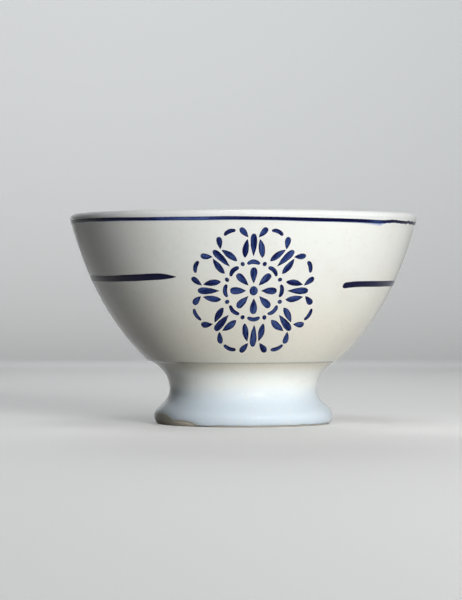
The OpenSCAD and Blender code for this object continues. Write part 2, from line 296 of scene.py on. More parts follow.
def turned(outline: Iterable[Vector], steps: int) -> bmesh.types.BMesh:
    """Turn an outline of radius and height round the bowl's axis.

    Args:
        outline: The points, in order.
        steps: Number of faces right round.

    Returns:
        A smooth skin whose faces point out of the clay.
    """
    bm = bmesh.new()
    verts = [bm.verts.new((p.x, 0, p.y)) for p in outline]
    edges = [bm.edges.new(pair) for pair in zip(verts, verts[1:])]
    bmesh.ops.spin(bm, geom=[*verts, *edges], cent=(0, 0, 0), axis=(0, 0, 1), angle=math.tau,
                   steps=steps, use_merge=True)
    bmesh.ops.remove_doubles(bm, verts=bm.verts, dist=0.001 * MM)
    bmesh.ops.recalc_face_normals(bm, faces=bm.faces)
    return bm


def face_clay(bm: bmesh.types.BMesh, away: Callable[[Vector], Vector]) -> None:
    """Turn a skin's faces over if they point the wrong way.

    Args:
        bm: The skin.
        away: Gives the right direction at a face's middle.
    """
    bm.normal_update()
    agree = sum(math.copysign(face.calc_area(), face.normal.dot(away(face.calc_center_median())))
                for face in bm.faces)
    if agree < 0:
        bmesh.ops.reverse_faces(bm, faces=bm.faces)


# Materials

class Sheet:
    """Short calls for drawing one node tree."""

    def __init__(self, tree: bpy.types.NodeTree) -> None:
        """Start on an empty tree."""
        self.tree = tree
        tree.nodes.clear()

    def add(self, kind: str, **settings: object) -> bpy.types.Node:
        """Add a node and set its properties."""
        node = self.tree.nodes.new(kind)
        for key, value in settings.items():
            setattr(node, key, value)
        return node

    def feed(self, socket: bpy.types.NodeSocket, value: object) -> None:
        """Join an output to a socket, or set the socket to a plain value."""
        if isinstance(value, bpy.types.NodeSocket):
            self.tree.links.new(value, socket)
        else:
            socket.default_value = value

    def math(self, operation: str, *values: object, clamp: bool = False) -> bpy.types.NodeSocket:
        """Add a Math node and return its result."""
        node = self.add("ShaderNodeMath", operation=operation, use_clamp=clamp)
        for socket, value in zip(node.inputs, values):
            self.feed(socket, value)
        return node.outputs[0]

    def blend(self, mask: object, low: object, high: object) -> bpy.types.NodeSocket:
        """Mix two colours by a mask from 0 to 1."""
        node = self.add("ShaderNodeMix", data_type="RGBA")
        for name, value in zip(("Factor_Float", "A_Color", "B_Color"), (mask, low, high)):
            self.feed(next(s for s in node.inputs if s.identifier == name), value)
        return next(s for s in node.outputs if s.identifier == "Result_Color")

    def step(self, value: object, low: float, high: float, to_low: float = 0.0,
             to_high: float = 1.0) -> bpy.types.NodeSocket:
        """Map a value's range smoothly onto another one."""
        node = self.add("ShaderNodeMapRange", interpolation_type="SMOOTHSTEP")
        for name, item in zip(("Value", "From Min", "From Max", "To Min", "To Max"),
                              (value, low, high, to_low, to_high)):
            self.feed(node.inputs[name], item)
        return node.outputs[0]

    def ramp(self, value: object, stops: Iterable[tuple[float, Colour]]) -> bpy.types.NodeSocket:
        """Turn a number from 0 to 1 into a colour, through colours at rising stops."""
        node = self.add("ShaderNodeValToRGB")
        self.feed(node.inputs["Fac"], value)
        row = node.color_ramp.elements
        for spare in list(row)[1:]:
            row.remove(spare)
        for i, (where, colour) in enumerate(stops):
            stop = row[0] if i == 0 else row.new(where)
            stop.position, stop.color = where, colour
        return node.outputs["Color"]

    def place(self, stretch: tuple[float, float, float] = (1, 1, 1)) -> bpy.types.NodeSocket:
        """Object coordinates, stretched."""
        where = self.add("ShaderNodeTexCoord").outputs["Object"]
        if stretch == (1, 1, 1):
            return where
        node = self.add("ShaderNodeMapping")
        self.feed(node.inputs["Vector"], where)
        node.inputs["Scale"].default_value = stretch
        return node.outputs[0]

    def height(self) -> bpy.types.NodeSocket:
        """Height above the table."""
        node = self.add("ShaderNodeSeparateXYZ")
        self.feed(node.inputs[0], self.place())
        return node.outputs["Z"]

    def noise(self, vector: object, size: float, detail: float = 2.0, rough: float = 0.5) -> bpy.types.NodeSocket:
        """Cloudy noise whose blots are about a size across."""
        node = self.add("ShaderNodeTexNoise")
        self.feed(node.inputs["Vector"], vector)
        node.inputs["Scale"].default_value = 1 / size
        node.inputs["Detail"].default_value = detail
        node.inputs["Roughness"].default_value = rough
        return node.outputs["Fac"]

    def cells(self, vector: object, size: float, feature: str) -> bpy.types.Node:
        """Voronoi cells about a size across."""
        node = self.add("ShaderNodeTexVoronoi", feature=feature)
        self.feed(node.inputs["Vector"], vector)
        node.inputs["Scale"].default_value = 1 / size
        return node

    def attribute(self, name: str) -> bpy.types.NodeSocket:
        """A number that the mesh carries at its points."""
        return self.add("ShaderNodeAttribute", attribute_name=name).outputs["Fac"]

    def bump(self, height: object, strength: float, distance: float) -> bpy.types.NodeSocket:
        """A normal from heights."""
        node = self.add("ShaderNodeBump")
        node.inputs["Strength"].default_value = strength
        node.inputs["Distance"].default_value = distance
        self.feed(node.inputs["Height"], height)
        return node.outputs[0]

    def group(self, tree: bpy.types.NodeTree, **values: object) -> bpy.types.Node:
        """Place a shared effect with its own values."""
        node = self.add("ShaderNodeGroup", node_tree=tree)
        for name, value in values.items():
            self.feed(node.inputs[name.replace("_", " ")], value)
        return node


def new_group(name: str, inputs: dict[str, float], outputs: Iterable[str]) -> tuple[Sheet, dict, dict]:
    """Start a shared effect.

    Args:
        name: The group's name.
        inputs: Its number inputs with their defaults.
        outputs: Its number outputs.

    Returns:
        The sheet, the input values by name and the output sockets by name.
    """
    tree = bpy.data.node_groups.new(name, "ShaderNodeTree")
    sheet = Sheet(tree)
    for key, value in inputs.items():
        tree.interface.new_socket(key, in_out="INPUT", socket_type="NodeSocketFloat").default_value = value
    for key in outputs:
        tree.interface.new_socket(key, in_out="OUTPUT", socket_type="NodeSocketFloat")
    given = sheet.add("NodeGroupInput").outputs
    result = sheet.add("NodeGroupOutput").inputs
    return sheet, {key: given[key] for key in inputs}, {key: result[key] for key in outputs}


@dataclass(frozen=True)
class GlazeMarks:
    """What firing and use leave in any glaze: fine crazing, specks, scratches, clouds and an uneven skin."""

    craze_cell: float = 5.5 * MM
    craze_line: float = 0.012
    scratch: float = 0.5 * MM
    scratch_length: float = 14
    mottle: float = 2.6 * MM
    speck_cell: float = 11 * MM
    speck_size: float = 0.035
    cloud: float = 26 * MM
    peel: float = 5 * MM

    def build(self) -> bpy.types.NodeTree:
        """Draw the group, with masks from 0 to 1 and a height."""
        sheet, given, result = new_group(
            "glaze_marks", {"Craze": 0.3, "Specks": 0.6, "Scratches": 0.4},
            ("Craze", "Specks", "Scratches", "Cloud", "Mottle", "Height"))
        where = sheet.place()
        cloud = sheet.noise(where, self.cloud, 3)
        bent = sheet.add("ShaderNodeVectorMath", operation="ADD")
        sheet.feed(bent.inputs[0], where)
        warp = sheet.add("ShaderNodeTexNoise")
        sheet.feed(warp.inputs["Vector"], where)
        warp.inputs["Scale"].default_value = 1 / self.craze_cell
        shrunk = sheet.add("ShaderNodeVectorMath", operation="SCALE")
        sheet.feed(shrunk.inputs[0], warp.outputs["Color"])
        shrunk.inputs["Scale"].default_value = 0.5 * self.craze_cell
        sheet.feed(bent.inputs[1], shrunk.outputs[0])
        edge = sheet.cells(bent.outputs[0], self.craze_cell, "DISTANCE_TO_EDGE").outputs["Distance"]
        patches = sheet.step(sheet.noise(where, 0.6 * self.cloud, 1), 0.45, 0.62)
        line = sheet.step(edge, 0.0, self.craze_line, 1.0, 0.0)
        craze = sheet.math("MULTIPLY", sheet.math("MULTIPLY", line, patches), given["Craze"])
        sheet.feed(result["Craze"], craze)
        dots = sheet.cells(where, self.speck_cell, "F1")
        chosen = sheet.add("ShaderNodeSeparateColor")
        sheet.feed(chosen.inputs[0], dots.outputs["Color"])
        few = sheet.step(chosen.outputs[0], 0.5, 0.55)
        size = sheet.math("MULTIPLY", chosen.outputs[1], self.speck_size)
        dot = sheet.math("LESS_THAN", dots.outputs["Distance"], size)
        specks = sheet.math("MULTIPLY", sheet.math("MULTIPLY", dot, few), given["Specks"])
        sheet.feed(result["Specks"], specks)
        sheet.feed(result["Cloud"], cloud)
        sheet.feed(result["Mottle"], sheet.noise(where, self.mottle, 4, 0.6))
        leaning = sheet.add("ShaderNodeVectorRotate", rotation_type="AXIS_ANGLE")
        sheet.feed(leaning.inputs["Vector"], where)
        leaning.inputs["Axis"].default_value = (0, 1, 0)
        leaning.inputs["Angle"].default_value = math.radians(52)
        drawn = sheet.add("ShaderNodeMapping")
        sheet.feed(drawn.inputs["Vector"], leaning.outputs[0])
        drawn.inputs["Scale"].default_value = (1 / self.scratch_length, 1, 1)
        hairs = sheet.noise(drawn.outputs[0], self.scratch, 0)
        worn = sheet.step(sheet.noise(where, 0.5 * self.cloud, 1), 0.52, 0.6)
        thin = sheet.step(hairs, 0.7, 0.76)
        scratches = sheet.math("MULTIPLY", sheet.math("MULTIPLY", thin, worn), given["Scratches"])
        sheet.feed(result["Scratches"], scratches)
        skin = sheet.noise(where, self.peel, 1)
        pits = sheet.math("MULTIPLY_ADD", specks, -0.6, skin)
        cut = sheet.math("MULTIPLY_ADD", scratches, -0.2, pits)
        sheet.feed(result["Height"], sheet.math("MULTIPLY_ADD", craze, -0.3, cut))
        return sheet.tree


@dataclass(frozen=True)
class ClayGrain:
    """The grain, pits and handling marks of bare fired clay."""

    grain: float = 0.35 * MM
    pit: float = 1.4 * MM
    blot: float = 9 * MM

    def build(self) -> bpy.types.NodeTree:
        """Draw the group, with a tone and a height."""
        sheet, given, result = new_group("clay_grain", {"Pits": 0.5}, ("Tone", "Height"))
        where = sheet.place()
        fine = sheet.noise(where, self.grain, 3, 0.7)
        blots = sheet.noise(where, self.blot, 3)
        pit = sheet.step(sheet.cells(where, self.pit, "F1").outputs["Distance"], 0.05, 0.3, 1.0, 0.0)
        pitted = sheet.math("MULTIPLY", pit, given["Pits"])
        tone = sheet.math("MULTIPLY_ADD", fine, 0.35, sheet.math("MULTIPLY", blots, 0.65))
        sheet.feed(result["Tone"], sheet.math("SUBTRACT", tone, sheet.math("MULTIPLY", pitted, 0.3), clamp=True))
        sheet.feed(result["Height"], sheet.math("SUBTRACT", fine, pitted))
        return sheet.tree


def new_material(name: str) -> tuple[bpy.types.Material, Sheet, dict]:
    """Start a finish.

    Args:
        name: The material's name.

    Returns:
        The material, its sheet and the shader's inputs.
    """
    material = bpy.data.materials.new(name)
    material.use_nodes = True
    sheet = Sheet(material.node_tree)
    shader = sheet.add("ShaderNodeBsdfPrincipled")
    output = sheet.add("ShaderNodeOutputMaterial")
    sheet.feed(output.inputs["Surface"], shader.outputs[0])
    return material, sheet, shader.inputs


@dataclass(frozen=True)
class GlazeFinish:
    """White glaze that is cream on the body and warmer where it is stained, with painted light and shade: a painted
    warm shade and a painted shade line at the crease, a slightly lighter neck for painted bounce light, a cooler lip
    (partly thinner glaze) and a cooler foot (partly pooled glaze) that are both partly a painted reflection of cool
    light, and a painted highlight round the chips' edges.
    """

    marks: bpy.types.NodeTree
    name: str = "white_glaze"
    white: Colour = (0.885, 0.91, 0.89, 1)
    cream: Colour = (0.915, 0.90, 0.81, 1)
    # Cooler lip: partly thinner glaze, partly a painted reflection of cool light.
    lip: Colour = (0.835, 0.865, 0.87, 1)
    # Painted warm shade and bounce light just below the crease.
    under_crease_shade: Colour = (0.94, 0.87, 0.71, 1)
    # Slightly lighter than the body: painted bounce light on the neck.
    neck: Colour = (0.895, 0.925, 0.90, 1)
    # Bluish foot: partly glaze pooled in the flare, partly a painted reflection of cool light.
    cool_pool_and_reflection: Colour = (0.70, 0.805, 0.91, 1)
    cloudy: Colour = (0.80, 0.75, 0.635, 1)
    # Painted shade: a dark line along the crease.
    crease_shade_line: Colour = (0.60, 0.52, 0.42, 1)
    inside: Colour = (0.885, 0.88, 0.84, 1)
    floor: Colour = (0.80, 0.765, 0.68, 1)
    craze: Colour = (0.50, 0.44, 0.36, 1)
    speck: Colour = (0.22, 0.17, 0.12, 1)
    scratch: Colour = (0.96, 0.965, 0.95, 1)
    mottle: Colour = (0.80, 0.80, 0.76, 1)
    worn: Colour = (0.60, 0.59, 0.51, 1)
    # Painted highlight round the edge of each chip.
    chip_edge_highlight: Colour = (0.90, 0.92, 0.91, 1)
    lip_from: float = 83.8 * MM
    lip_to: float = 84.6 * MM
    cream_from: float = 70 * MM
    cream_to: float = 33 * MM
    crease_shade_at: float = 26.0 * MM
    crease_shade_spread: float = 0.5 * MM
    neck_from: float = 26.0 * MM
    neck_to: float = 20.5 * MM
    cool_from: float = 20 * MM
    cool_to: float = 9 * MM
    floor_from: float = 34 * MM
    floor_to: float = 21.8 * MM
    stain: float = 0.3

    def outside(self, sheet: Sheet, height: object, cloud: object) -> bpy.types.NodeSocket:
        """The glaze's colours on the outside by height, with painted shade and bounce light below the crease, a
        painted shade line along the crease and a painted cool reflection on the lip and foot.

        Args:
            sheet: The material's sheet.
            height: Height above the table.
            cloud: Slow cloudy noise.

        Returns:
            The colour.
        """
        uneven = sheet.math("MULTIPLY_ADD", sheet.math("SUBTRACT", cloud, 0.5), 0.03, height)
        low = sheet.step(uneven, self.cream_to, self.cream_from, 1.0, 0.0)
        body = sheet.blend(low, self.white, self.cream)
        stained = sheet.blend(sheet.step(cloud, 0.5, 0.8, 0.0, self.stain), body, self.cloudy)
        # The lip's cooler tint is partly thinner glaze and partly a painted reflection of cool light.
        lip = sheet.blend(sheet.step(height, self.lip_from, self.lip_to), stained, self.lip)
        # Just below the crease the colour turns warm beige: painted warm shade and bounce light.
        crease = sheet.step(height, self.neck_from, self.neck_from + 0.2 * MM, 1.0, 0.0)
        below = sheet.blend(crease, lip, self.under_crease_shade)
        # Further down, the neck is a little lighter: painted bounce light.
        neck = sheet.blend(sheet.step(height, self.neck_to, self.neck_from, 1.0, 0.0), below, self.neck)
        # The foot turns bluish: partly glaze pooled in the flare, partly a painted reflection of cool light.
        foot = sheet.blend(sheet.step(height, self.cool_to, self.cool_from, 1.0, 0.0), neck, self.cool_pool_and_reflection)
        # A dark line along the crease, stronger where the cloud noise is high: painted shade.
        off_crease_shade = sheet.math("ABSOLUTE", sheet.math("SUBTRACT", height, self.crease_shade_at))
        crease_shade_line = sheet.math("MULTIPLY", sheet.step(off_crease_shade, 0.0, self.crease_shade_spread, 0.25, 0.0), cloud)
        return sheet.blend(crease_shade_line, foot, self.crease_shade_line)

    def make(self) -> bpy.types.Material:
        """Draw the material."""
        material, sheet, shader = new_material(self.name)
        marks = sheet.group(self.marks, Craze=0.18, Specks=0.7, Scratches=0.35).outputs
        height = sheet.height()
        poured = sheet.math("MULTIPLY_ADD", marks["Cloud"], 0.02, height)
        inside = sheet.blend(sheet.step(poured, self.floor_to, self.floor_from, 1.0, 0.0), self.inside, self.floor)
        glaze = sheet.blend(sheet.attribute("inside"), self.outside(sheet, height, marks["Cloud"]), inside)
        mottled = sheet.blend(sheet.step(marks["Mottle"], 0.5, 0.75, 0.0, 0.3), glaze, self.mottle)
        crazed = sheet.blend(marks["Craze"], mottled, self.craze)
        specked = sheet.blend(marks["Specks"], crazed, self.speck)
        scratched = sheet.blend(marks["Scratches"], specked, self.scratch)
        rugged = sheet.math("SUBTRACT", sheet.noise(sheet.place(), 1.6 * MM, 3, 0.6), 2.5)
        chip = sheet.math("ADD", sheet.math("MULTIPLY", rugged, 0.5), sheet.attribute("chip"))
        # A pale ring round each chip's edge: a painted highlight, as if the broken edge caught the light.
        chip_edge_highlit = sheet.blend(sheet.step(chip, 0.0, 0.06), scratched, self.chip_edge_highlight)
        bare = sheet.step(chip, 0.17, 0.27)
        sheet.feed(shader["Base Color"], sheet.blend(bare, chip_edge_highlit, self.worn))
        rough = sheet.math("MULTIPLY_ADD", marks["Cloud"], 0.1, 0.04)
        crazed_rough = sheet.math("MULTIPLY_ADD", marks["Craze"], 0.3, rough)
        sheet.feed(shader["Roughness"], sheet.math("MULTIPLY_ADD", bare, 0.45, crazed_rough))
        relief = sheet.math("MULTIPLY_ADD", bare, -1.2, marks["Height"])
        sheet.feed(shader["Normal"], sheet.bump(relief, 0.3, 0.1 * MM))
        shader["IOR"].default_value = 1.48
        return material


@dataclass(frozen=True)
class CobaltFinish:
    """Cobalt laid on with a brush: dark where it pooled along the edges, paler and streaky inside."""

    marks: bpy.types.NodeTree
    name: str
    glaze: Colour = (0.86, 0.87, 0.84, 1)
    pale: Colour = (0.58, 0.64, 0.80, 1)
    wash: Colour = (0.13, 0.19, 0.43, 1)
    thin: Colour = (0.026, 0.054, 0.205, 1)
    full: Colour = (0.003, 0.008, 0.075, 1)
    deep: Colour = (0.0002, 0.0004, 0.034, 1)
    pool: float = 0.42 * MM
    streak: float = 0.6 * MM
    patchy: float = 0.5

    def make(self) -> bpy.types.Material:
        """Draw the material, which reads the stroke's own measures from the mesh."""
        material, sheet, shader = new_material(self.name)
        marks = sheet.group(self.marks, Craze=0.25, Specks=0.2).outputs
        along, across, edge, load, mark = (sheet.attribute(measure.value) for measure in Measure)
        path = sheet.add("ShaderNodeCombineXYZ")
        sheet.feed(path.inputs[0], sheet.math("MULTIPLY", along, 0.16))
        sheet.feed(path.inputs[1], across)
        sheet.feed(path.inputs[2], mark)
        streaks = sheet.noise(path.outputs[0], self.streak, 3, 0.6)
        blots = sheet.noise(path.outputs[0], 4 * self.streak, 1)
        wavy = sheet.math("MULTIPLY_ADD", streaks, 0.3 * self.pool, edge)
        inner = sheet.step(wavy, 0.25 * self.pool, 1.4 * self.pool)
        mottle = sheet.step(sheet.math("ADD", streaks, blots), 0.75, 1.2, 0.18, self.patchy)
        tone = sheet.math("MULTIPLY", load, sheet.math("SUBTRACT", 1.0, sheet.math("MULTIPLY", inner, mottle)))
        stops = ((0.0, self.glaze), (0.16, self.pale), (0.36, self.wash), (0.54, self.thin), (0.76, self.full),
                 (1.0, self.deep))
        sheet.feed(shader["Base Color"], sheet.ramp(tone, stops))
        sheet.feed(shader["Roughness"], sheet.math("MULTIPLY_ADD", streaks, 0.12, 0.08))
        relief = sheet.math("MULTIPLY_ADD", streaks, 0.5, marks["Height"])
        sheet.feed(shader["Normal"], sheet.bump(relief, 0.35, 0.1 * MM))
        shader["IOR"].default_value = 1.24
        return material


@dataclass(frozen=True)
class ClayFinish:
    """Bare fired clay, rubbed darker where it is handled."""

    grain: bpy.types.NodeTree
    name: str
    light: Colour
    dark: Colour
    pits: float
    rough: float = 0.8

    def make(self) -> bpy.types.Material:
        """Draw the material."""
        material, sheet, shader = new_material(self.name)
        grain = sheet.group(self.grain, Pits=self.pits).outputs
        tone = sheet.step(grain["Tone"], 0.25, 0.7)
        sheet.feed(shader["Base Color"], sheet.blend(tone, self.dark, self.light))
        sheet.feed(shader["Roughness"], sheet.math("MULTIPLY_ADD", tone, 0.15, self.rough - 0.1))
        sheet.feed(shader["Normal"], sheet.bump(grain["Height"], 0.5, 0.1 * MM))
        return material


# The bowl

@dataclass
class GlazedSkin:
    """The outer glaze, from its lower edge on the toe over the foot, wall and lip to the floor."""

    shape: BowlShape
    finish: bpy.types.Material
    steps: int = 192
    flow: float = 0.35 * MM
    chips: tuple[tuple[float, float, float], ...] = (
        (math.radians(-66), math.radians(19), 4.6 * MM), (math.radians(-46), math.radians(16), 2.2 * MM))
    chip_h: float = 0.6 * MM
    chip_depth: float = 0.28 * MM

    def chip(self, angle: float, height: float) -> float:
        """How far inside the old chips on the toe a place lies: 2 in the middle, 1 at the edge, 0 well off."""
        depths = [2 - ((angle - at) / spread) ** 2 - ((height - self.chip_h) / rise) ** 2
                  for at, spread, rise in self.chips]
        return max(0.0, *depths)

    def outline(self) -> list[Vector]:
        """The skin's section, from the lower edge to the axis."""
        shape = self.shape
        rest_r = shape.toe_r - shape.rest_in
        first = math.asin(1 - 0.55 * shape.glaze_line / shape.toe_h)
        toe = [Vector((mix(rest_r, shape.toe_r, math.cos(a)), shape.toe_h * (1 - math.sin(a))))
               for a in (first * (1 - s) for s in shares(6))]
        flare = [shape.flare.at(s) for s in shares(16)]
        neck = [shape.neck.at(s) for s in shares(14)]
        corner = Curve((shape.crease - Vector((shape.edge_round, 0)), shape.crease,
                        shape.crease + shape.edge_round * (shape.wall.points[1] - shape.crease).normalized()))
        edge = [corner.at(s) for s in shares(4)]
        wall = [shape.wall.at(s) for s in shares(48) if s > 0.01]
        out = shape.wall.right(1)
        start = math.atan2(out.y, out.x)
        lip = [shape.lip_centre + shape.lip_r * Vector((math.cos(a), math.sin(a)))
               for a in (start + math.pi * s for s in shares(18))]
        inside = [shape.wall.at(1 - s) - mix(2 * shape.lip_r, shape.wall_t, s) * shape.wall.right(1 - s)
                  for s in shares(40)]
        well = [shape.well.at(s) for s in shares(18)]
        return [*toe, *flare[1:], *neck[1:], *edge, *wall, *lip[1:], *inside[1:], *well[1:]]

    def is_inside(self, place: Vector) -> bool:
        """Whether a place lies on the inside of the wall or on the floor, and not outside or on the foot."""
        radius = math.hypot(place.x, place.y)
        if place.z < self.shape.crease_h:
            return radius < self.shape.waist.x - 0.5 * MM and place.z > self.shape.crease_h - self.shape.underside_dip
        middle = self.shape.wall_radius(place.z) - self.shape.lip_r
        return radius < middle

    def away(self, place: Vector) -> Vector:
        """The way out of the clay, for the outside and the inside."""
        return Vector((place.x, place.y, 0)) * (-1 if self.is_inside(place) else 1)

    def build(self) -> bpy.types.Object:
        """Turn the skin and let it dip and flow as glaze does."""
        bm = turned(self.outline(), self.steps)
        face_clay(bm, self.away)
        chipped = bm.verts.layers.float.new("chip")
        inside = bm.verts.layers.float.new("inside")
        for vert in bm.verts:
            vert[inside] = float(self.is_inside(vert.co))
            radius = math.hypot(vert.co.x, vert.co.y)
            if radius < MM:
                continue
            angle = math.atan2(vert.co.x, -vert.co.y)
            vert[chipped] = self.chip(angle, vert.co.z)
            worn = self.chip_depth * min(1.0, max(0.0, 2 * vert[chipped] - 2))
            inwards = 1 - (self.shape.dip(angle, vert.co.z) + worn) / radius
            vert.co.x *= inwards
            vert.co.y *= inwards
            if vert.co.z < self.shape.toe_h:
                sag = 1 - vert.co.z / self.shape.toe_h
                vert.co.z += sag * self.flow * noise.noise(Vector((6 * math.sin(angle), 6 * math.cos(angle), 0)))
        return new_piece("glaze_skin", bm, self.finish, Slot.GLAZE, "glaze_coat", thickness=0.9 * self.shape.glaze_t)


@dataclass
class HollowSkin:
    """The thin glaze inside the foot."""

    shape: BowlShape
    finish: bpy.types.Material
    steps: int = 128

    def outline(self) -> list[Vector]:
        """The skin's section, from its lower edge to the axis."""
        shape = self.shape
        coat = shape.under_glaze_t
        side = [shape.hollow.at(s) - Vector((coat, 0)) for s in shares(24)]
        side = [p for p in side if p.y >= shape.under_line]
        radius = shape.hollow.points[-1].x

        def roof(r: float) -> Vector:
            """The underside's glaze at a radius."""
            a, b = shape.underside.points[0].x, shape.underside.points[1].x
            share = (a - b - math.sqrt((a - b) ** 2 - (a - 2 * b) * (a - r))) / (a - 2 * b)
            return shape.underside.at(share) + (shape.glaze_t - coat) * shape.underside.right(share)

        corner = roof(radius) - Vector((coat, 0))
        bend = Curve((corner - Vector((0, shape.fillet)), corner, roof(radius - shape.fillet)))
        top = [roof((radius - shape.fillet) * (1 - s)) for s in shares(14)]
        return [*side, *(bend.at(s) for s in shares(10)), *top[1:-1], Vector((0, top[-1].y))]

    def build(self) -> bpy.types.Object:
        """Turn the skin, facing the hollow."""
        bm = turned(self.outline(), self.steps)
        face_clay(bm, lambda place: Vector((-place.x, -place.y, -self.shape.toe_r)))
        return new_piece("hollow_skin", bm, self.finish, Slot.UNDERSIDE, "underside_glaze",
                         thickness=0.8 * self.shape.under_glaze_t)


@dataclass
class ClayParts:
    """The body, the foot and the slip between them, which the frame already holds."""

    biscuit: bpy.types.Material
    slip: bpy.types.Material

    def dress(self) -> None:
        """Give each clay node its finish."""
        for node, material in (("bowl_body", self.biscuit), ("pedestal_foot", self.biscuit),
                               ("luting_slip", self.slip)):
            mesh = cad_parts[node].data
            mesh.materials.clear()
            mesh.materials.append(material)
            log.info("%s: kept, with %s", node, material.name)


# The painting

@dataclass(frozen=True)
class Paint:
    """How thickly the cobalt lies, and how deep it reaches into the glaze."""

    lift: float = 0.035 * MM
    sunk: float = 0.03 * MM
    depth: float = 0.15 * MM

    def proud(self, side: float) -> float:
        """Height over the glaze from one edge of a stroke, -1, to the other, 1."""
        return self.lift - (self.lift + self.sunk) * side ** 6


class Measure(Enum):
    """What a painted surface tells its finish at every point."""

    ALONG = "along"
    ACROSS = "across"
    EDGE = "edge"
    LOAD = "load"
    MARK = "mark"


@dataclass
class Stroke:
    """A surface of brushed cobalt on the wall, with its own measures at every point."""

    bm: bmesh.types.BMesh
    cells: tuple[int, int] = (22, 10)

    @classmethod
    def blank(cls) -> "Stroke":
        """Start with no marks, ready for their measures."""
        bm = bmesh.new()
        for measure in Measure:
            bm.verts.layers.float.new(measure.value)
        return cls(bm)

    def lay(self, cells: tuple[int, int], place: Callable[[float, float], tuple[Vector, Measures]]) -> None:
        """Lay one mark of the brush.

        Args:
            cells: Number of faces along the mark and across it.
            place: Gives the place and the measures at a share along the mark and a side from -1 to 1.
        """
        made = bmesh.ops.create_grid(self.bm, x_segments=cells[0], y_segments=cells[1], size=0.5)["verts"]
        for vert in made:
            share, side = vert.co.x + 0.5, 2 * vert.co.y
            vert.co, measures = place(min(max(share, 0), 1), min(max(side, -1), 1))
            for measure, value in measures.items():
                vert[self.bm.verts.layers.float[measure.value]] = value

    def done(self) -> bmesh.types.BMesh:
        """Close the marks' pointed ends and face them outwards."""
        bmesh.ops.remove_doubles(self.bm, verts=self.bm.verts, dist=0.002 * MM)
        bmesh.ops.recalc_face_normals(self.bm, faces=self.bm.faces)
        self.bm.normal_update()
        inwards = [f for f in self.bm.faces if f.normal.dot(Vector((*f.calc_center_median().xy, 0))) < 0]
        bmesh.ops.reverse_faces(self.bm, faces=inwards)
        return self.bm


@dataclass(frozen=True)
class Dab:
    """One mark of the stencil, drawn flat and centred on its length."""

    length: float
    width: float
    soft: tuple[float, float]
    bend: float = 0.0

    def half(self, share: float) -> float:
        """Half the width at a share of the length."""
        soft_in, soft_out = self.soft
        widest = soft_in / (soft_in + soft_out)
        top = widest ** soft_in * (1 - widest) ** soft_out
        return self.width / 2 * share ** soft_in * (1 - share) ** soft_out / top

    def at(self, share: float, side: float) -> Vector:
        """The flat place at a share of the length and a side from -1 to 1."""
        turn = self.bend * (share - 0.5)
        if self.bend:
            radius = self.length / self.bend
            spine = radius * Vector((1 - math.cos(turn), math.sin(turn)))
        else:
            spine = Vector((0, self.length * (share - 0.5)))
        return spine + side * self.half(share) * Vector((math.cos(turn), -math.sin(turn)))


@dataclass(frozen=True)
class Spot:
    """Where a dab sits in the rosette: along a spoke, across it, and its lean from that spoke."""

    spoke: float
    along: float = 0.0
    across: float = 0.0
    lean: float = 0.0


